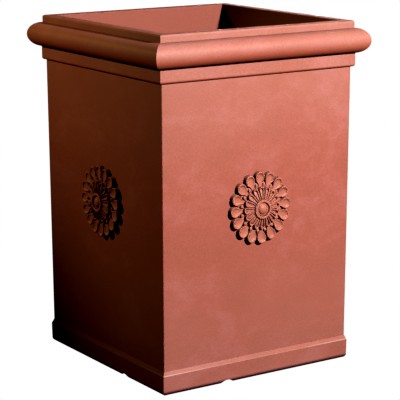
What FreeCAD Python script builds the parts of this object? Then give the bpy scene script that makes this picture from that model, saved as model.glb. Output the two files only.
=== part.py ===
import FreeCAD, Part
import math
import os
import re
import Sketcher

# Tall square planter: a tapered shell with a moulded cornice, a plinth and a rosette on each side.
# Origin at the centre of the footprint, on the ground. +Z is up and the front faces -Y.
# Lengths are millimetres, angles are degrees.

SIZES = {
    # Whole planter
    "overall_width": 500.0,
    "overall_height": 693.0,
    "side_count": 4,
    "overrun": 2.0,
    "seat_gap": 0.3,
    # Shell
    "shell_draft": 3.1,
    "shell_wall": 8.0,
    "shell_corner_radius": 2.0,
    "shell_foot_height": 14.0,
    "tongue_wall": 3.8,
    "ledge_thickness": 8.0,
    "ledge_reach": 30.0,
    # Plinth
    "plinth_projection": 3.6,
    "plinth_height": 47.7,
    "plinth_slope_height": 8.7,
    "plinth_foot_inset": 0.5,
    "plinth_foot_radius": 8.0,
    "plinth_bearing": 14.0,
    "plinth_flange": 6.0,
    "notch_width": 32.0,
    "notch_height": 7.0,
    "notch_offset": 73.0,
    # Cornice
    "cornice_height": 91.0,
    "frieze_projection": 6.1,
    "frieze_edge_radius": 5.0,
    "torus_radius": 24.6,
    "torus_centre_drop": 39.2,
    "torus_inset": 2.3,
    "lip_setback": 1.9,
    "lip_thickness": 21.3,
    "lip_edge_radius": 4.0,
    "mouth_edge_radius": 2.0,
    "groove_depth": 20.0,
    # Drain floor
    "floor_thickness": 8.0,
    "floor_edge_gap": 1.0,
    "floor_rib_count": 2,
    "floor_rib_thickness": 6.0,
    "floor_rib_depth": 11.0,
    "floor_rib_pitch": 130.0,
    "drain_radius": 12.0,
    # Rosette
    "rosette_height": 344.0,
    "petal_count": 16,
    "petal_reach": 70.0,
    "petal_tip_radius": 10.3,
    "petal_neck_width": 10.6,
    "petal_depth": 7.5,
    "petal_root": 34.0,
    "leaf_reach": 48.0,
    "leaf_root": 33.0,
    "leaf_width": 7.2,
    "floret_count": 16,
    "floret_reach": 41.0,
    "floret_width": 11.6,
    "floret_widest": 35.5,
    "floret_tip_width": 6.0,
    "floret_root_width": 3.0,
    "floret_tip_depth": 11.7,
    "floret_root_depth": 15.2,
    "floret_thickness": 9.6,
    "hub_radius": 36.0,
    "hub_depth": 6.0,
    "ring_radius": 17.5,
    "ring_depth": 16.2,
    "boss_radius": 10.5,
    "boss_depth": 18.4,
    # Screws
    "screw_radius": 2.5,
    "screw_head_width": 9.0,
    "screw_head_height": 3.0,
    "screw_bite": 9.0,
    "screw_end_gap": 1.0,
    "thread_gap": 0.1,
    "pass_gap": 0.4,
}

# Sizes that follow from the ones above
DERIVED = {
    "cornice_foot": "overall_height - cornice_height",
    "shell_top": "cornice_foot + groove_depth",
    "torus_centre": "overall_width / 2 - torus_radius",
    "frieze_half": "torus_centre + torus_inset",
    "lip_half": "frieze_half - lip_setback",
    "mouth_half": "lip_half - lip_thickness",
    "shell_top_half": "frieze_half - frieze_projection",
    "shell_foot_half": "shell_top_half - shell_draft",
    "shell_slope": "shell_draft / (shell_top - plinth_height)",
    "shell_lean": "atan(shell_slope)",
    "shell_half_at_cornice":
        "shell_foot_half + shell_slope * (cornice_foot - plinth_height)",
    "shell_half_at_rosette":
        "shell_foot_half + shell_slope * (rosette_height - plinth_height)",
    "ledge_top": "shell_foot_height + ledge_thickness",
    "ledge_edge": "shell_foot_half - shell_wall - ledge_reach",
    "cavity_foot_half":
        "shell_foot_half + shell_slope * (ledge_top - plinth_height) - shell_wall",
    "floor_half": "cavity_foot_half - floor_edge_gap",
    "tongue_half": "shell_foot_half - shell_wall + tongue_wall",
    "plinth_half": "shell_foot_half + plinth_projection",
    "plinth_foot_half": "plinth_half - plinth_foot_inset",
    "plinth_lap_half": "tongue_half + seat_gap",
    "plinth_bearing_half": "plinth_foot_half - plinth_foot_radius - plinth_bearing",
    "plinth_flange_foot": "shell_foot_height - plinth_flange",
    "notch_radius": "((notch_width / 2)^2 + notch_height^2) / 2 / notch_height",
    "torus_height": "overall_height - torus_centre_drop",
    "torus_foot": "torus_height - sqrt(torus_radius^2 - (frieze_half - torus_centre)^2)",
    "torus_head": "torus_height + sqrt(torus_radius^2 - (lip_half - torus_centre)^2)",
    "groove_outer": "shell_top_half + seat_gap",
    "groove_inner": "shell_half_at_cornice - shell_wall - seat_gap",
    "petal_tip_centre": "petal_reach - petal_tip_radius",
    "floret_tilt":
        "atan((floret_root_depth - floret_tip_depth) / (floret_reach - ring_radius))",
    "floret_apex": "floret_root_depth + ring_radius * tan(floret_tilt)",
    "petal_shoulder": "petal_tip_centre + petal_tip_radius / 2",
    "petal_shoulder_half": "petal_tip_radius * sqrt(3) / 2",
    "screw_hole_radius": "screw_radius + thread_gap",
    "pass_hole_radius": "screw_radius + pass_gap",
}

doc = FreeCAD.newDocument("Planter")
sheet = doc.addObject("Spreadsheet::Sheet", "Sizes")
for row, (alias, number) in enumerate(SIZES.items(), start=1):
    sheet.set(f"A{row}", alias)
    sheet.set(f"B{row}", str(number))
    sheet.setAlias(f"B{row}", alias)
doc.recompute()


def bound(text):
    """The expression with derived sizes written out and each size pointed at its cell."""
    def cell(match):
        word = match.group(0)
        if word in DERIVED:
            return "(" + bound(DERIVED[word]) + ")"
        return "Sizes." + word if word in SIZES else word
    return re.sub(r"[a-z][a-z_]+", cell, text)


def value(text):
    """The number that an expression gives."""
    return float(sheet.evalExpression(bound(text)))


def origin_part(body, role):
    return next(part for part in body.Origin.OriginFeatures if part.Role == role)


def new_body(name):
    body = doc.addObject("PartDesign::Body", name)
    body.Label = name
    body.AllowCompound = True
    return body


def new_sketch(body, name, role="XY_Plane", offset="0"):
    """Sketch on one of the body's origin planes, moved along that plane's normal."""
    sketch = body.newObject("Sketcher::SketchObject", f"{body.Name}_{name}")
    sketch.AttachmentSupport = [(origin_part(body, role), "")]
    sketch.MapMode = "FlatFace"
    if offset != "0":
        sketch.setExpression("AttachmentOffset.Base.z", bound(offset))
    return sketch


def pin(sketch, edge, end, place):
    """Hold one point of the sketch at a place given by two expressions."""
    for axis, other_axis, text in (("DistanceX", -2, place[0]), ("DistanceY", -1, place[1])):
        if text == "0":
            sketch.addConstraint(Sketcher.Constraint("PointOnObject", edge, end, other_axis))
            continue
        index = sketch.addConstraint(Sketcher.Constraint(axis, -1, 1, edge, end, value(text)))
        sketch.setExpression(f"Constraints[{index}]", bound(text))


def bind_radius(sketch, edge, text):
    index = sketch.addConstraint(Sketcher.Constraint("Radius", edge, value(text)))
    sketch.setExpression(f"Constraints[{index}]", bound(text))


def circle(sketch, x, y, radius):
    middle = FreeCAD.Vector(value(x), value(y), 0)
    edge = sketch.addGeometry(Part.Circle(middle, FreeCAD.Vector(0, 0, 1), value(radius)), False)
    pin(sketch, edge, 3, (x, y))
    bind_radius(sketch, edge, radius)


def arc_edge(start, end, radius):
    """Arc of under a half circle that bows to the right of its travel from start to end."""
    chord = end - start
    middle = (start + end) / 2
    left = FreeCAD.Vector(-chord.y, chord.x, 0).normalize()
    centre = middle + left * math.sqrt(max(radius**2 - (chord.Length / 2) ** 2, 0))
    start_angle = math.atan2(start.y - centre.y, start.x - centre.x)
    end_angle = math.atan2(end.y - centre.y, end.x - centre.x)
    whole = Part.Circle(centre, FreeCAD.Vector(0, 0, 1), radius)
    return Part.ArcOfCircle(whole, start_angle, end_angle)


def outline(sketch, corners):
    """Closed anticlockwise outline of (x, y) or (x, y, radius) corners.

    A radius bows the edge that leaves its corner outwards.
    """
    places = [FreeCAD.Vector(value(corner[0]), value(corner[1]), 0) for corner in corners]
    first_edge = sketch.GeometryCount
    for index, corner in enumerate(corners):
        start = places[index]
        end = places[(index + 1) % len(places)]
        if len(corner) == 3:
            sketch.addGeometry(arc_edge(start, end, value(corner[2])), False)
        else:
            sketch.addGeometry(Part.LineSegment(start, end), False)
    for index, corner in enumerate(corners):
        edge = first_edge + index
        previous = first_edge + (index - 1) % len(corners)
        sketch.addConstraint(Sketcher.Constraint("Coincident", previous, 2, edge, 1))
        pin(sketch, edge, 1, corner)
        if len(corner) == 3:
            bind_radius(sketch, edge, corner[2])


def rectangle(sketch, low_x, low_y, high_x, high_y):
    outline(sketch, [(low_x, low_y), (high_x, low_y), (high_x, high_y), (low_x, high_y)])


def square(sketch, half):
    rectangle(sketch, f"-({half})", f"-({half})", half, half)


def feature(body, kind, name, profile, **settings):
    """PartDesign feature made from a sketch. Its length is an expression."""
    made = body.newObject(f"PartDesign::{kind}", f"{body.Name}_{name}")
    made.Profile = profile
    for key, setting in settings.items():
        if key == "Length":
            made.setExpression(key, bound(setting))
        else:
            setattr(made, key, setting)
    doc.recompute()
    return made


def shell_half(height):
    """Half width over the shell's leaning outer faces at a height."""
    return f"shell_foot_half + shell_slope * ({height} - plinth_height)"


def frustum(body, kind, name, low, high, inset="0"):
    """Square block between two heights whose sides lean with the shell's faces."""
    made = body.newObject(f"PartDesign::{kind}", f"{body.Name}_{name}")
    # The wedge grows along its own Y axis, so it stands on the XZ plane's axes
    made.AttachmentSupport = [(origin_part(body, "XZ_Plane"), "")]
    made.MapMode = "FlatFace"
    made.setExpression("Ymin", bound(low))
    made.setExpression("Ymax", bound(high))
    for key, height in (("", low), ("2", high)):
        half = bound(f"{shell_half(height)} - {inset}")
        for axis in ("X", "Z"):
            made.setExpression(f"{axis}{key}min", f"-({half})")
            made.setExpression(f"{axis}{key}max", half)
    doc.recompute()
    return made


def upright_fillet(body, name, base, half, radius):
    """Round the four upright corner edges that stand half a width or so from both axes."""
    reach = value(half)
    edges = []
    for number, edge in enumerate(base.Shape.Edges, start=1):
        low, high = edge.Vertexes[0].Point, edge.Vertexes[-1].Point
        rises = abs(high.z - low.z) > edge.Length / 2
        if rises and min(abs(low.x), abs(low.y)) > reach:
            edges.append(f"Edge{number}")
    made = body.newObject("PartDesign::Fillet", f"{body.Name}_{name}")
    made.Base = (base, edges)
    made.setExpression("Radius", bound(radius))
    doc.recompute()
    return made


def moulding(body, profile, path_half):
    """Sweep a profile in the XZ plane round a square, with mitred corners."""
    path = new_sketch(body, "path")
    # The path starts and ends in the profile's plane, at the middle of the right-hand side
    route = [
        (path_half, "0"),
        (path_half, path_half),
        (f"-{path_half}", path_half),
        (f"-{path_half}", f"-{path_half}"),
        (path_half, f"-{path_half}"),
    ]
    outline(path, route)
    doc.recompute()
    edges = [f"Edge{number}" for number in range(1, len(route) + 1)]
    return feature(body, "AdditivePipe", "sweep", profile, Spine=(path, edges),
                   Transition="Right corner")


def pattern(body, name, originals, count):
    """Repeat features round the body's Z axis."""
    made = body.newObject("PartDesign::PolarPattern", f"{body.Name}_{name}")
    made.Originals = originals
    made.Axis = (origin_part(body, "Z_Axis"), [""])
    made.Angle = 360
    made.setExpression("Occurrences", bound(count))
    body.Tip = made
    doc.recompute()
    return made


def make_screws():
    """A screw through each side of the shell from inside, with a hexagon head."""
    body = new_body("rosette_screws")
    seat = "shell_half_at_rosette - shell_wall"
    head_outline = new_sketch(body, "head_outline", "XZ_Plane", seat)
    corner_reach = "screw_head_width / sqrt(3)"
    corners = []
    for sixth in range(6):
        angle = f"{sixth} * 360 deg / 6"
        corners.append((f"{corner_reach} * cos({angle})",
                        f"rosette_height + {corner_reach} * sin({angle})"))
    outline(head_outline, corners)
    head = feature(body, "Pad", "head", head_outline, Length="screw_head_height", Reversed=True)
    shank_outline = new_sketch(body, "shank_outline", "XZ_Plane", seat)
    circle(shank_outline, "0", "rosette_height", "screw_radius")
    shank = feature(body, "Pad", "shank", shank_outline, Length="shell_wall + screw_bite")
    pattern(body, "sides", [head, shank], "side_count")
    return body


def make_shell():
    body = new_body("body_shell")
    walls = frustum(body, "AdditiveWedge", "walls", "plinth_height", "shell_top")
    upright_fillet(body, "corners", walls, "tongue_half", "shell_corner_radius")
    # Lap joint at the foot: the inner part of the wall goes down inside the plinth
    tongue = new_sketch(body, "tongue_outline", offset="shell_foot_height")
    square(tongue, "tongue_half")
    feature(body, "Pad", "tongue", tongue, Length="plinth_height - shell_foot_height")
    frustum(body, "SubtractiveWedge", "cavity", "ledge_top", "shell_top + overrun",
            inset="shell_wall")
    opening = new_sketch(body, "floor_opening_outline", offset="shell_foot_height")
    square(opening, "ledge_edge")
    feature(body, "Pocket", "floor_opening", opening, Length="ledge_thickness + overrun",
            Reversed=True)
    wall_hole = new_sketch(body, "wall_hole_outline", "XZ_Plane")
    circle(wall_hole, "0", "rosette_height", "pass_hole_radius")
    through = feature(body, "Pocket", "wall_hole", wall_hole, Reversed=True,
                      Length="shell_top_half + overrun")
    pattern(body, "wall_holes", [through], "side_count")
    return body


def make_plinth():
    body = new_body("plinth")
    section = new_sketch(body, "section", "XZ_Plane")
    outline(section, [
        ("ledge_edge", "plinth_flange_foot"),
        ("plinth_bearing_half", "plinth_flange_foot"),
        ("plinth_bearing_half", "0"),
        ("plinth_foot_half - plinth_foot_radius", "0", "plinth_foot_radius"),
        ("plinth_foot_half", "plinth_foot_radius"),
        ("plinth_half", "plinth_height - plinth_slope_height"),
        ("shell_foot_half", "plinth_height"),
        ("plinth_lap_half", "plinth_height"),
        ("plinth_lap_half", "shell_foot_height"),
        ("ledge_edge", "shell_foot_height"),
    ])
    moulding(body, section, "plinth_lap_half")
    # Drainage notches: the front and left ones stand near the corner that those sides share
    for role, outwards in (("XZ_Plane", True), ("YZ_Plane", False)):
        notch = new_sketch(body, f"{role[:2]}_notch_outline", role)
        low = "-notch_offset - notch_width / 2"
        high = "-notch_offset + notch_width / 2"
        outline(notch, [
            (low, "-overrun"),
            (high, "-overrun"),
            (high, "0", "notch_radius"),
            (low, "0"),
        ])
        cut = feature(body, "Pocket", f"{role[:2]}_notch", notch, Type="ThroughAll",
                      Reversed=outwards)
        pattern(body, f"{role[:2]}_notches", [cut], "side_count / 2")
    return body


def make_cornice():
    body = new_body("cornice")
    section = new_sketch(body, "section", "XZ_Plane")
    outline(section, [
        ("mouth_half", "cornice_foot"),
        ("groove_inner", "cornice_foot"),
        ("groove_inner", "shell_top"),
        ("groove_outer", "shell_top"),
        ("groove_outer", "cornice_foot"),
        ("frieze_half - frieze_edge_radius", "cornice_foot", "frieze_edge_radius"),
        ("frieze_half", "cornice_foot + frieze_edge_radius"),
        ("frieze_half", "torus_foot", "torus_radius"),
        ("lip_half", "torus_head"),
        ("lip_half", "overall_height - lip_edge_radius", "lip_edge_radius"),
        ("lip_half - lip_edge_radius", "overall_height"),
        ("mouth_half + mouth_edge_radius", "overall_height", "mouth_edge_radius"),
        ("mouth_half", "overall_height - mouth_edge_radius"),
    ])
    moulding(body, section, "mouth_half")
    return body


def make_floor():
    body = new_body("drain_floor")
    plate_outline = new_sketch(body, "plate_outline", offset="ledge_top")
    square(plate_outline, "floor_half")
    feature(body, "Pad", "plate", plate_outline, Length="floor_thickness")
    rib_end = "(ledge_edge - floor_edge_gap)"
    rib_near = "(floor_rib_pitch - floor_rib_thickness) / 2"
    rib_far = "(floor_rib_pitch + floor_rib_thickness) / 2"
    rib_outline = new_sketch(body, "rib_outline", offset="ledge_top")
    rectangle(rib_outline, rib_near, f"-{rib_end}", rib_far, rib_end)
    rib = feature(body, "Pad", "rib", rib_outline, Length="floor_rib_depth", Reversed=True)
    pattern(body, "ribs", [rib], "floor_rib_count")
    drain_outline = new_sketch(body, "drain_outline", offset="ledge_top")
    circle(drain_outline, "0", "0", "drain_radius")
    feature(body, "Pocket", "drain", drain_outline, Length="floor_thickness", Reversed=True)
    return body


def make_rosette(side, quarter_turns):
    """Cast rosette on its own back plane, then set against its side of the shell."""
    body = new_body(f"rosette_{side}")
    section = new_sketch(body, "section", "XZ_Plane")
    outline(section, [
        ("0", "0"),
        ("hub_radius", "0"),
        ("hub_radius", "hub_depth"),
        ("ring_radius", "hub_depth"),
        ("ring_radius", "ring_depth"),
        ("boss_radius", "ring_depth"),
        ("boss_radius", "boss_depth"),
        ("0", "boss_depth"),
    ])
    feature(body, "Revolution", "hub", section, Angle=360,
            ReferenceAxis=(origin_part(body, "Z_Axis"), [""]))
    # Spoon petal along +Y: straight flanks open from the neck, the shoulders are cut to a round tip
    petal_outline = new_sketch(body, "petal_outline")
    outline(petal_outline, [
        ("petal_neck_width / 2", "petal_root"),
        ("petal_tip_radius", "petal_tip_centre"),
        ("petal_shoulder_half", "petal_shoulder", "petal_tip_radius"),
        ("-petal_shoulder_half", "petal_shoulder"),
        ("-petal_tip_radius", "petal_tip_centre"),
        ("-petal_neck_width / 2", "petal_root"),
    ])
    petal = feature(body, "Pad", "petal", petal_outline, Length="petal_depth")
    pattern(body, "petals", [petal], "petal_count")
    # Pointed leaves fill the gaps between the necks
    leaf_outline = new_sketch(body, "leaf_outline")
    leaf_outline.setExpression("AttachmentOffset.Rotation.Angle",
                               bound("360 deg / petal_count / 2"))
    outline(leaf_outline, [
        ("leaf_width / 2", "leaf_root"),
        ("0", "leaf_reach"),
        ("-leaf_width / 2", "leaf_root"),
    ])
    leaf = feature(body, "Pad", "leaf", leaf_outline, Length="hub_depth")
    pattern(body, "leaves", [leaf], "petal_count")
    # Inner petals slope down from the ring, so they are drawn on a plane that tilts about X
    floret_outline = new_sketch(body, "floret_outline", offset="floret_apex")
    for direction, share in (("x", 1), ("y", 0), ("z", 0)):
        floret_outline.setExpression(f"AttachmentOffset.Rotation.Axis.{direction}", str(share))
    floret_outline.setExpression("AttachmentOffset.Rotation.Angle", bound("-floret_tilt"))
    root, widest, tip = (f"{reach} / cos(floret_tilt)" for reach in
                         ("(boss_radius + ring_radius) / 2", "floret_widest", "floret_reach"))
    outline(floret_outline, [
        ("floret_root_width / 2", root),
        ("floret_width / 2", widest),
        ("floret_tip_width / 2", tip),
        ("-floret_tip_width / 2", tip),
        ("-floret_width / 2", widest),
        ("-floret_root_width / 2", root),
    ])
    floret = feature(body, "Pad", "floret", floret_outline, Length="floret_thickness",
                     Reversed=True)
    pattern(body, "florets", [floret], "floret_count")
    bore_outline = new_sketch(body, "bore_outline")
    circle(bore_outline, "0", "0", "screw_hole_radius")
    feature(body, "Pocket", "bore", bore_outline, Length="screw_bite + screw_end_gap",
            Reversed=True)
    # Stand the back upright, facing -Y, lean it with the shell's wall and turn it to its side
    stand = FreeCAD.Rotation(FreeCAD.Vector(1, 0, 0), 90 + value("shell_lean"))
    place = FreeCAD.Vector(0, -value("shell_half_at_rosette"), value("rosette_height"))
    turn = FreeCAD.Rotation(FreeCAD.Vector(0, 0, 1), 90 * quarter_turns)
    body.Placement = FreeCAD.Placement(turn.multVec(place), turn * stand)
    return body


def check_document():
    """Stop if any object failed, any sketch is loose or any sub-part isn't a sound solid."""
    for item in doc.Objects:
        if "Invalid" in item.State or "Error" in item.State:
            raise RuntimeError(f"{item.Name} failed: {item.State}")
        if item.TypeId == "Sketcher::SketchObject" and not item.FullyConstrained:
            raise RuntimeError(f"{item.Name} isn't fully constrained")
        if item.TypeId == "PartDesign::Body":
            if item.Shape.isNull() or not item.Shape.isValid() or item.Shape.Volume <= 0:
                raise RuntimeError(f"{item.Label} isn't a sound solid")


subparts = [make_shell(), make_plinth(), make_cornice(), make_floor()]
for turns, side in enumerate(("front", "right", "back", "left")):
    subparts.append(make_rosette(side, turns))
subparts.append(make_screws())
doc.recompute()
check_document()

os.makedirs("parts", exist_ok=True)
for subpart in subparts:
    subpart.Shape.exportStep(f"parts/{subpart.Label}.step")
    print(subpart.Label, len(subpart.Shape.Solids), "solids", round(subpart.Shape.Volume), "mm3")
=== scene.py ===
import math

import bpy
import numpy as np
from mathutils import Matrix, Vector


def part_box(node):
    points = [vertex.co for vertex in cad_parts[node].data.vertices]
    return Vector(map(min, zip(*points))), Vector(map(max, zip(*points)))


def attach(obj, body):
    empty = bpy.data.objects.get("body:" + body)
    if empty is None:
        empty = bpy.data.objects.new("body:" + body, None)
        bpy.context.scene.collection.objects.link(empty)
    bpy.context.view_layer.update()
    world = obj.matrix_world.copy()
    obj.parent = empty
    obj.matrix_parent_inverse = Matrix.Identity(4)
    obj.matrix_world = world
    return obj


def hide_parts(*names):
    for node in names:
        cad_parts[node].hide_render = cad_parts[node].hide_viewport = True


# Tall square planter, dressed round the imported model. Metres, +Z up, the front faces -Y.

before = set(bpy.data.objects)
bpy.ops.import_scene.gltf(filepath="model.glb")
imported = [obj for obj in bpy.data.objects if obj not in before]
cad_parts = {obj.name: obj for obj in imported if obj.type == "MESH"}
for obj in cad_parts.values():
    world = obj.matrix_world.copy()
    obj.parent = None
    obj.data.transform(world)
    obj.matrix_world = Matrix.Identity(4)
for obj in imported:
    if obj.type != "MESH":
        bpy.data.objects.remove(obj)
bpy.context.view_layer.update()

MM = 0.001
SIDES = ("front", "right", "back", "left")

# The height of the rosettes
ROSETTE_HEIGHT = 344 * MM

# How far a wall of the shell draws in between its top and the plinth
SHELL_DRAFT = 3.1 * MM

# The slope and lean of the shell's walls, and its half width where the rosettes sit
shell_top_half, _, shell_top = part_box("body_shell")[1]
plinth_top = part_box("plinth")[1].z
WALL_SLOPE = SHELL_DRAFT / (shell_top - plinth_top)
WALL_LEAN = math.atan(WALL_SLOPE)
WALL_HALF = shell_top_half - WALL_SLOPE * (shell_top - ROSETTE_HEIGHT)

# Petals in a row of the rosette, and the degrees by which the whole casting is turned
PETALS = 16
CASTING_TURN = 2.3

# How far the ring and the boss sit off the rosette's centre along Y, in millimetres
RING_DROP = -2.0

# Points round the tip of a petal's outline, and how many of their steps make a quarter turn
TIP_POINTS = 9
TIP_QUARTER = 8.6

# Facets round a turned form, and the degrees up to which faces are shaded as one surface
FACETS = 96
SMOOTH_ANGLE = 50

# Half widths between which the inner faces of the mouth, painted in the deeper tone as shade, give
# way to all that lies farther out
MOUTH_EDGE = (0.2075, 0.2105)

# Heights where the pale band painted as highlight and wear on the plinth's edge begins, is full, is
# full still, and ends
EDGE_HIGHLIGHT_AND_WEAR = (0.0385, 0.0394, 0.0403, 0.0413)

# Heights between which the shade painted dark at the plinth's foot clears
FOOT_SHADE = (0.003, 0.010)

# Between these values of its normal's Z, a face passes from an underside, tinted as painted shade,
# to any other
UNDERSIDE = (-0.60, 0.0)

# Fired clay, its pale and deep blotches (the deep tone also painted as shade inside the mouth), a
# pale tone painted as sheen that also stands for dust, a saturated tint painted as shade on
# undersides, the chalky tone of the rosettes and a pale tone painted as highlight and wear on the
# plinth's edge
CLAY = (0.556, 0.219, 0.160)
CLAY_PALE = (0.600, 0.258, 0.214)
CLAY_DEEP = (0.530, 0.212, 0.153)
CLAY_SHEEN_AND_DUST = (0.640, 0.395, 0.340)
CLAY_SHADED_UNDERSIDE = (0.630, 0.200, 0.112)
CLAY_CHALK = (0.745, 0.372, 0.268)
CLAY_HIGHLIGHT_AND_WEAR = (0.720, 0.520, 0.490)

# The camera: its angles in degrees, its film and lens in millimetres
CAMERA_AZIMUTH = 33.5456
CAMERA_ELEVATION = 12.212
CAMERA_ROLL = -0.156
CAMERA_FILM = 36.0
CAMERA_LENS = 146.76
CAMERA_DISTANCE = 3.337
CAMERA_TARGET = (0.0, -0.0144, 0.3211)

# Half width of the floor, and the strength of the light from all round
FLOOR_HALF = 30.0
WORLD_STRENGTH = 0.006


# Node materials

class Nodes:
    """One material and short ways to add to it. A source is a (node, output) pair."""

    def __init__(self, name):
        self.material = bpy.data.materials.new(name)
        self.material.use_nodes = True
        self.tree = self.material.node_tree
        self.shader = self.tree.nodes["Principled BSDF"]

    def add(self, kind, **values):
        """A new node, with its inputs and settings given by name."""
        node = self.tree.nodes.new(kind)
        for key, value in values.items():
            if key in node.inputs:
                node.inputs[key].default_value = value
            else:
                setattr(node, key, value)
        return node

    def join(self, source, target, socket):
        """Link a source to a socket of another node."""
        node, output = source
        self.tree.links.new(node.outputs[output], target.inputs[socket])

    def place(self):
        """Coordinates in the planter's frame, in metres."""
        return self.add("ShaderNodeTexCoord"), "Object"

    def axes(self, source):
        """A node that gives the X, Y and Z of a vector."""
        made = self.add("ShaderNodeSeparateXYZ")
        self.join(source, made, "Vector")
        return made

    def off_centre(self, operation):
        """The larger (MAXIMUM) or smaller (MINIMUM) of how far a place is off centre in X and Y."""
        folded = self.add("ShaderNodeVectorMath", operation="ABSOLUTE")
        self.join(self.place(), folded, 0)
        apart = self.axes((folded, "Vector"))
        made = self.add("ShaderNodeMath", operation=operation)
        self.join((apart, "X"), made, 0)
        self.join((apart, "Y"), made, 1)
        return made, "Value"

    def noise(self, scale, detail, roughness=0.55, twist=0.0, place=None):
        """Cloudy noise, over the planter's own coordinates where no place is given."""
        made = self.add("ShaderNodeTexNoise", Scale=scale, Detail=detail, Roughness=roughness,
                        Distortion=twist)
        self.join(place or self.place(), made, "Vector")
        return made, "Fac"

    def climb(self, source, low, high):
        """A share that goes from 0 to 1 as its source goes from low to high."""
        made = self.add("ShaderNodeMapRange", **{"From Min": low, "From Max": high})
        self.join(source, made, "Value")
        return made, "Result"

    def ramp(self, source, stops):
        """A colour or value from a factor. stops are (place, value or colour), in rising order."""
        made = self.add("ShaderNodeValToRGB")
        elements = made.color_ramp.elements
        for index, (place, colour) in enumerate(stops):
            element = elements[index] if index < 2 else elements.new(place)
            element.position = place
            if isinstance(colour, float):
                colour = (colour, colour, colour)
            element.color = (*colour, 1.0)
        self.join(source, made, "Fac")
        return made, "Color"

    def mix(self, blend, factor, first, second):
        """Mix two colours, each given as numbers or a source. factor is a number or a source."""
        made = self.add("ShaderNodeMix", data_type="RGBA", blend_type=blend)
        if isinstance(factor, float):
            made.inputs["Factor"].default_value = factor
        else:
            self.join(factor, made, "Factor")
        for index, colour in ((6, first), (7, second)):
            if isinstance(colour[0], float):
                made.inputs[index].default_value = (*colour, 1.0)
            else:
                self.join(colour, made, index)
        return made, 2

    def multiply(self, first, second):
        return self.mix("MULTIPLY", 1.0, first, second)

    def bump(self, source, distance, strength, before=None):
        made = self.add("ShaderNodeBump", Strength=strength, Distance=distance)
        self.join(source, made, "Height")
        if before:
            self.join(before, made, "Normal")
        return made, "Normal"


def edge_highlight_and_wear(nodes, height):
    """A share that is high on the plinth's edge, at the foot of its slope, most near the corners,
    where a pale band is painted as highlight and wear.
    """
    low, full, full_still, high = EDGE_HIGHLIGHT_AND_WEAR
    edge = nodes.multiply(nodes.climb(height, low, full), nodes.climb(height, high, full_still))
    corner = nodes.ramp(nodes.off_centre("MINIMUM"), [(0.10, 0.16), (0.20, 0.80)])
    return nodes.multiply(edge, corner)


def terracotta(name, grain_depth=0.22 * MM, plinth=False, chalky=0.0):
    """Matt cast resin coloured as fired clay: faint blotches and a fine grain, with a pale tone
    painted as sheen that also stands for dust, the deeper tone painted as shade inside the mouth and
    a saturated tint painted as shade on undersides.

    On the plinth it also has a pale band painted as highlight and wear on its edge, and painted
    shade that darkens its foot. chalky is the share of a chalkier tone.
    """
    nodes = Nodes(name)
    height = (nodes.axes(nodes.place()), "Z")
    past_mouth = nodes.climb(nodes.off_centre("MAXIMUM"), *MOUTH_EDGE)
    facing = nodes.axes((nodes.add("ShaderNodeNewGeometry"), "Normal"))
    upward = nodes.climb((facing, "Z"), *UNDERSIDE)

    shifted = nodes.add("ShaderNodeMapping", Scale=(0.8, 0.8, 1.2), Location=(-0.07, 0.0, 0.16))
    nodes.join(nodes.place(), shifted, "Vector")
    blotches = nodes.noise(9.0, 8.0, 0.70, twist=0.35, place=(shifted, "Vector"))
    colour = nodes.ramp(blotches, [(0.36, CLAY_DEEP), (0.5, CLAY), (0.64, CLAY_PALE)])
    # Painted shade: the inner faces of the mouth take the deeper tone.
    colour = nodes.mix("MIX", past_mouth, CLAY_DEEP, colour)
    # Painted shade: undersides take a more saturated tint.
    colour = nodes.mix("MIX", upward, CLAY_SHADED_UNDERSIDE, colour)

    # Painted sheen, which also stands for dust: a pale tone, strongest at the top and partly low
    # down, kept off the inside of the mouth and off undersides.
    sheen_and_dust_noise = nodes.noise(4.0, 6.0, 0.65)
    sheen_and_dust = nodes.ramp(sheen_and_dust_noise, [(0.38, 0.25), (0.68, 0.52)])
    by_height = nodes.ramp(height, [(0.06, 0.42), (0.27, 0.05), (0.40, 0.0), (0.69, 1.0)])
    for share in (by_height, past_mouth, upward):
        sheen_and_dust = nodes.multiply(sheen_and_dust, share)
    colour = nodes.mix("MIX", sheen_and_dust, colour, CLAY_SHEEN_AND_DUST)
    if chalky:
        colour = nodes.mix("MIX", chalky, colour, CLAY_CHALK)

    grain = nodes.noise(420.0, 4.0, 0.8)
    colour = nodes.multiply(colour, nodes.ramp(grain, [(0.3, 0.85), (0.7, 1.14)]))
    if plinth:
        # Painted highlight and wear: a pale band along the plinth's edge.
        colour = nodes.mix("MIX", edge_highlight_and_wear(nodes, height), colour, CLAY_HIGHLIGHT_AND_WEAR)
        # Painted shade: darker towards the very foot of the plinth.
        colour = nodes.multiply(colour, nodes.climb(height, *FOOT_SHADE))
    nodes.join(colour, nodes.shader, "Base Color")
    nodes.join(nodes.ramp(sheen_and_dust_noise, [(0.3, 0.50), (0.7, 0.62)]), nodes.shader, "Roughness")
    swell = nodes.bump(nodes.noise(22.0, 2.0), 1.0 * MM, 0.35)
    nodes.join(nodes.bump(grain, grain_depth, 0.6, before=swell), nodes.shader, "Normal")
    return nodes.material


def zinc(name):
    """Zinc-plated steel with a clouded finish."""
    nodes = Nodes(name)
    cloud = nodes.noise(180.0, 3.0)
    colour = nodes.ramp(cloud, [(0.3, (0.42, 0.42, 0.43)), (0.7, (0.62, 0.62, 0.60))])
    nodes.join(colour, nodes.shader, "Base Color")
    nodes.join(nodes.ramp(cloud, [(0.3, 0.30), (0.7, 0.46)]), nodes.shader, "Roughness")
    nodes.shader.inputs["Metallic"].default_value = 1.0
    return nodes.material


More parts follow.
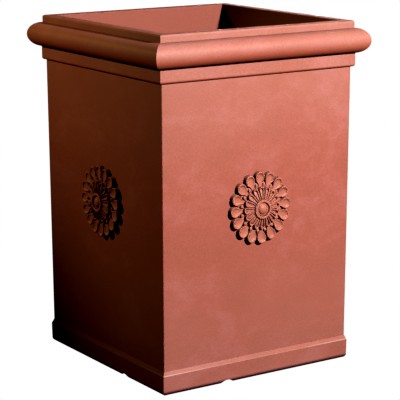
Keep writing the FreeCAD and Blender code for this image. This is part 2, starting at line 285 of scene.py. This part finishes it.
SHELL_RESIN = terracotta("resin_shell")
MOULDING_RESIN = terracotta("resin_moulding")
PLINTH_RESIN = terracotta("resin_plinth", plinth=True)
ORNAMENT_RESIN = terracotta("resin_ornament", grain_depth=0.08 * MM, chalky=0.36)
SCREW_STEEL = zinc("screw_zinc")


def dress(node, material):
    """Give a carried-over CAD node its material."""
    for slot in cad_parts[node].material_slots:
        slot.material = material


# Meshes

def place_object(name, data):
    """Put a mesh, a light or a camera in the scene."""
    made = bpy.data.objects.new(name, data)
    bpy.context.scene.collection.objects.link(made)
    return made


def mesh_object(name, points, faces, material):
    """A piece from points in millimetres."""
    mesh = bpy.data.meshes.new(name)
    mesh.from_pydata([tuple(point) for point in np.asarray(points) * MM], [], faces)
    mesh.validate()
    mesh.shade_smooth()
    mesh.set_sharp_from_angle(angle=math.radians(SMOOTH_ANGLE))
    mesh.materials.append(material)
    return place_object(name, mesh)


def gather(parts):
    """Join (points, faces) parts into one."""
    points, faces, count = [], [], 0
    for part_points, part_faces in parts:
        points.append(np.asarray(part_points, float))
        faces.extend([tuple(count + corner for corner in face) for face in part_faces])
        count += len(part_points)
    return np.concatenate(points), faces


def turned(part, degrees):
    """A (points, faces) part turned about Z."""
    points, faces = part
    angle = math.radians(degrees)
    turn = np.array([[math.cos(angle), -math.sin(angle), 0],
                     [math.sin(angle), math.cos(angle), 0],
                     [0, 0, 1]])
    return np.asarray(points) @ turn.T, faces


def lathe(profile):
    """Solid of revolution about Z from (radius, z) points that start and end on the axis."""
    rings = profile[1:-1]
    points = [(0, 0, profile[0][1])]
    for radius, z in rings:
        for step in range(FACETS):
            angle = 2 * math.pi * step / FACETS
            points.append((radius * math.cos(angle), radius * math.sin(angle), z))
    points.append((0, 0, profile[-1][1]))
    faces = []
    last = len(points) - 1
    for step in range(FACETS):
        after = (step + 1) % FACETS
        faces.append((0, 1 + after, 1 + step))
        for ring in range(len(rings) - 1):
            low = 1 + ring * FACETS
            high = low + FACETS
            faces.append((low + step, low + after, high + after, high + step))
        top = 1 + (len(rings) - 1) * FACETS
        faces.append((top + step, top + after, last))
    return points, faces


def smooth_step(low, high, start, end):
    """A function from y to a height, which passes smoothly from low at start to high at end."""
    def height(y):
        share = min(max((y - start) / (end - start), 0.0), 1.0)
        share = share * share * (3 - 2 * share)
        return low + (high - low) * share
    return height


def half_outline(flank, head, centre, reach):
    """Right-hand half of a petal's outline, from its root round to its tip.

    It stops short of the centre line, because the left half repeats each of its points.
    """
    made = list(flank)
    for step in range(TIP_POINTS):
        angle = math.radians(90 * step / TIP_QUARTER)
        made.append((head * math.cos(angle), centre + (reach - centre) * math.sin(angle)))
    return made


def cupped_petal(foot, crest, spine, rim, floor, wall, bowl):
    """A closed petal along +Y whose wall rises and rounds over to a crest round a hollow.

    foot and crest hold matching right-hand points of the outline, at the wall and on the crest.
    spine gives, for each, the y that the hollow closes in on. rim and floor give heights for a y.
    wall holds (share of the way from foot to crest, share of the crest's height). bowl holds
    (share of the way in, share of the hollow's depth that is left).
    """
    count = len(foot)
    outline = [(*low, *high, inner) for low, high, inner in zip(foot, crest, spine)]
    outline += [(-low_x, low_y, -high_x, high_y, inner)
                for low_x, low_y, high_x, high_y, inner in reversed(outline)]
    total = len(outline)
    points = []
    for inward, upward in wall:
        for low_x, low_y, high_x, high_y, inner in outline:
            points.append((low_x + (high_x - low_x) * inward, low_y + (high_y - low_y) * inward,
                           rim(high_y) * upward))
    for share, left in bowl:
        for low_x, low_y, high_x, high_y, inner in outline:
            y = high_y + (inner - high_y) * share
            points.append((high_x * (1 - share), y, floor(y) + (rim(high_y) - floor(y)) * left))
    levels = len(wall) + len(bowl)
    faces = []
    for level in range(levels - 1):
        for step in range(total):
            here = level * total + step
            after = level * total + (step + 1) % total
            faces.append((here, after, after + total, here + total))
    top = (levels - 1) * total
    for step in range(count - 1):
        across = total - 1 - step
        faces.append((top + step, top + step + 1, top + across - 1, top + across))
        faces.append((step + 1, step, across, across - 1))
    return points, faces


def rounded_wall(straight, inward, steps):
    """Wall that rises steeply to a share of its height, moving inward a little, then rounds over."""
    made = [(0.0, 0.0), (inward, straight)]
    for step in range(1, steps + 1):
        turn = math.radians(90 * step / steps)
        made.append((inward + (1 - inward) * (1 - math.cos(turn)),
                     straight + (1 - straight) * math.sin(turn)))
    return made


# How far a hollow has come in, and the share of its depth that is left there. A ridge isn't hollow.
CUP = [(0.05, 0.985), (0.11, 0.90), (0.18, 0.72), (0.26, 0.49), (0.35, 0.29), (0.46, 0.15),
       (0.60, 0.06), (0.76, 0.02), (0.91, 0.005), (0.99, 0.0)]
CHANNEL = [(0.20, 1.0), (0.34, 0.95), (0.42, 0.78), (0.49, 0.40), (0.56, 0.12), (0.66, 0.03),
           (0.82, 0.01), (0.98, 0.0)]
RIDGE = [(0.3, 1.0), (0.6, 1.0), (0.97, 1.0)]


def spoon_petal():
    """Outer petal: a narrow neck that opens into a round, cupped head."""
    foot = half_outline([(4.6, 34.0), (4.3, 40.0), (4.3, 44.0), (5.1, 47.4), (7.1, 50.4),
                         (9.3, 53.4), (10.7, 57.0)], 11.2, 61.0, 72.2)
    crest = half_outline([(3.2, 34.0), (2.9, 40.0), (2.9, 44.4), (3.8, 48.2), (5.8, 51.4),
                          (8.0, 54.4), (9.3, 57.4)], 9.7, 60.0, 69.7)
    spine = [y + (58.6 - y) * 0.12 for x, y in crest[:-TIP_POINTS]]
    spine += [58.4 + 0.25 * step for step in range(TIP_POINTS)]
    rim = smooth_step(7.0, 9.4, 44, 66)
    floor = smooth_step(6.9, 6.3, 44, 56)
    return cupped_petal(foot, crest, spine, rim, floor, rounded_wall(0.80, 0.30, 6), CUP)


def daisy_petal():
    """Inner petal: a long loop, its raised border round a narrow channel."""
    foot = half_outline([(1.8, 14.0), (2.45, 18.0), (3.25, 22.5), (4.05, 27.0), (4.85, 31.0),
                         (5.6, 34.0)], 6.1, 36.2, 42.3)
    crest = half_outline([(1.5, 14.0), (2.1, 18.0), (2.9, 22.5), (3.7, 27.0), (4.5, 31.0),
                          (5.2, 33.8)], 5.6, 36.0, 41.6)
    spine = [y + 0.2 for x, y in crest[:-TIP_POINTS]]
    spine += [34.6 + 0.3 * step for step in range(TIP_POINTS)]
    rim = smooth_step(15.2, 12.8, 14, 42)
    floor = smooth_step(10.6, 8.2, 16, 40)
    return cupped_petal(foot, crest, spine, rim, floor, rounded_wall(0.88, 0.5, 4), CHANNEL)


def leaf_tip():
    """Small rounded leaf that shows between two outer petals' necks."""
    foot = [(4.4, 34.0), (4.2, 40.0), (3.6, 43.0), (3.5, 45.6), (2.9, 47.8), (1.0, 49.2)]
    crest = [(3.8, 34.0), (3.4, 39.6), (2.6, 42.6), (2.5, 45.2), (2.0, 47.0), (0.6, 48.1)]
    spine = [34.4, 39.8, 42.8, 44.4, 45.6, 46.4]
    ridge = smooth_step(6.6, 8.6, 40, 45)
    return cupped_petal(foot, crest, spine, ridge, ridge, rounded_wall(0.6, 0.3, 5), RIDGE)


def arc_points(centre, radius, start, end, count):
    """(radius, z) points of an arc between two angles, in degrees."""
    made = []
    for step in range(count + 1):
        angle = math.radians(start + (end - start) * step / count)
        made.append((centre[0] + radius * math.cos(angle), centre[1] + radius * math.sin(angle)))
    return made


def ring_and_boss():
    """Rounded ring round a domed boss, turned on the casting's axis and set off its centre."""
    profile = [(0, 8.0), (19.1, 8.0), (19.1, 15.4)]
    profile += arc_points((17.5, 15.6), 1.6, 0, 90, 6)
    profile += arc_points((15.2, 15.9), 1.3, 90, 180, 5)
    profile += [(13.9, 12.6), (13.6, 11.6), (12.4, 11.5)]
    for degrees in range(0, 90, 9):
        angle = math.radians(degrees)
        profile.append((11.1 * math.cos(angle), 11.5 + 6.9 * math.sin(angle)))
    profile.append((0, 18.4))
    points, faces = lathe(profile)
    return np.asarray(points) + (0, RING_DROP, 0), faces


def rosette_mesh():
    """The cast rosette in its own frame: its back at Z 0, its face towards +Z, in millimetres."""
    hub = [(0, 0), (52.0, 0), (51.4, 2.8), (49.6, 4.4), (45.0, 5.3), (39.6, 5.8), (38.6, 6.6),
           (37.4, 8.4), (35.0, 10.0), (30.0, 11.4), (14.0, 13.9), (0, 13.9)]
    parts = [lathe(hub)]
    for step in range(PETALS):
        parts.append(turned(spoon_petal(), 360 * step / PETALS))
        parts.append(turned(leaf_tip(), 360 * (step + 0.5) / PETALS))
        parts.append(turned(daisy_petal(), 360 * step / PETALS))
    parts.append(ring_and_boss())
    return turned(gather(parts), CASTING_TURN)


def on_wall(side):
    """The move that takes a rosette to its side of the shell."""
    turn = Matrix.Rotation(math.radians(90 * SIDES.index(side)), 4, "Z")
    place = Matrix.Translation((0, -WALL_HALF, ROSETTE_HEIGHT))
    stand = Matrix.Rotation(math.radians(90) + WALL_LEAN, 4, "X")
    return turn @ place @ stand


rosette_points, rosette_faces = rosette_mesh()
for side in SIDES:
    rosette = mesh_object(f"rosette_{side}_cast", rosette_points, rosette_faces, ORNAMENT_RESIN)
    rosette.data.transform(on_wall(side))
    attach(rosette, "root")
    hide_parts(f"rosette_{side}")

dress("body_shell", SHELL_RESIN)
dress("plinth", PLINTH_RESIN)
dress("cornice", MOULDING_RESIN)
dress("drain_floor", SHELL_RESIN)
dress("rosette_screws", SCREW_STEEL)


# Stage

def stage_floor():
    """A wide floor that the camera sees as white and that throws little light back."""
    mesh = bpy.data.meshes.new("floor")
    half = FLOOR_HALF
    mesh.from_pydata([(-half, -half, 0), (half, -half, 0), (half, half, 0), (-half, half, 0)],
                     [], [(0, 1, 2, 3)])
    made = place_object("floor", mesh)
    nodes = Nodes("floor_white")
    nodes.shader.inputs["Base Color"].default_value = (0.05, 0.05, 0.05, 1)
    nodes.shader.inputs["Roughness"].default_value = 0.9
    bright = nodes.add("ShaderNodeEmission", Color=(1, 1, 1, 1), Strength=1.0)
    light_path = nodes.add("ShaderNodeLightPath")
    pick = nodes.add("ShaderNodeMixShader")
    nodes.join((light_path, "Is Camera Ray"), pick, 0)
    nodes.join((nodes.shader, 0), pick, 1)
    nodes.join((bright, 0), pick, 2)
    nodes.join((pick, 0), nodes.tree.nodes["Material Output"], "Surface")
    mesh.materials.append(nodes.material)


def aim(thing, place, target):
    """Stand a light or a camera in its place and turn it to its target."""
    thing.location = place
    thing.rotation_mode = "QUATERNION"
    thing.rotation_quaternion = (Vector(target) - Vector(place)).to_track_quat("-Z", "Y")


def shine(light, energy, colour, place, target):
    """Hang a light that gives direct light alone, so that shadows stay black."""
    light.energy = energy
    light.color = colour
    light.cycles.max_bounces = 0
    made = place_object(light.name, light)
    made.visible_camera = False
    aim(made, place, target)


def area_light(name, width, length, **how):
    """Soft light from a rectangle."""
    light = bpy.data.lights.new(name, "AREA")
    light.shape = "RECTANGLE"
    light.size = width
    light.size_y = length
    shine(light, **how)


def spot_light(name, cone, fade, radius, **how):
    """Light in a cone, given in degrees, whose strength fades over an outer share of it."""
    light = bpy.data.lights.new(name, "SPOT")
    light.spot_size = math.radians(cone)
    light.spot_blend = fade
    light.shadow_soft_size = radius
    shine(light, **how)


def camera():
    """The camera that the photograph was matched with."""
    data = bpy.data.cameras.new("camera")
    data.sensor_width = CAMERA_FILM
    data.lens = CAMERA_LENS
    data.clip_end = 200.0
    made = place_object("camera", data)
    azimuth = math.radians(CAMERA_AZIMUTH)
    elevation = math.radians(CAMERA_ELEVATION)
    roll = Matrix.Rotation(math.radians(CAMERA_ROLL), 3, "Z").to_quaternion()
    back = Vector((-math.sin(azimuth) * math.cos(elevation),
                   -math.cos(azimuth) * math.cos(elevation), math.sin(elevation)))
    target = Vector(CAMERA_TARGET)
    aim(made, target + back * CAMERA_DISTANCE, target)
    made.rotation_quaternion = made.rotation_quaternion @ roll
    bpy.context.scene.camera = made


def camera_response(settings):
    """The contrast of the photograph: deep shades and a steeper scale than the plain view has."""
    settings.view_transform = "Standard"
    settings.gamma = 0.667
    settings.use_curve_mapping = True
    settings.curve_mapping.black_level = (0.009, 0.017, 0.010)
    settings.curve_mapping.update()


stage_floor()
camera()
area_light("key", width=0.16, length=0.16, energy=116, colour=(1.0, 0.98, 0.97),
           place=(0.48, -2.63, 1.76), target=(0.0, -0.22, 0.40))
spot_light("fill", cone=38, fade=1.0, radius=0.03, energy=44.0, colour=(1.0, 0.76, 0.33),
           place=(-1.31, 0.79, 1.24), target=(-0.22, -0.02, 0.53))
area_light("back", width=0.8, length=0.5, energy=95, colour=(1.0, 0.96, 0.93),
           place=(1.70, 1.90, 0.56), target=(0.0, 0.0, 0.34))
spot_light("well", cone=11.2, fade=0.6, radius=0.05, energy=190, colour=(1.0, 0.96, 0.93),
           place=(0.0, 0.0, 2.60), target=(0.0, 0.0, 0.0))
world = bpy.data.worlds.new("studio")
world.use_nodes = True
world.node_tree.nodes["Background"].inputs["Color"].default_value = (1.0, 1.0, 1.0, 1)
world.node_tree.nodes["Background"].inputs["Strength"].default_value = WORLD_STRENGTH
bpy.context.scene.world = world
camera_response(bpy.context.scene.view_settings)
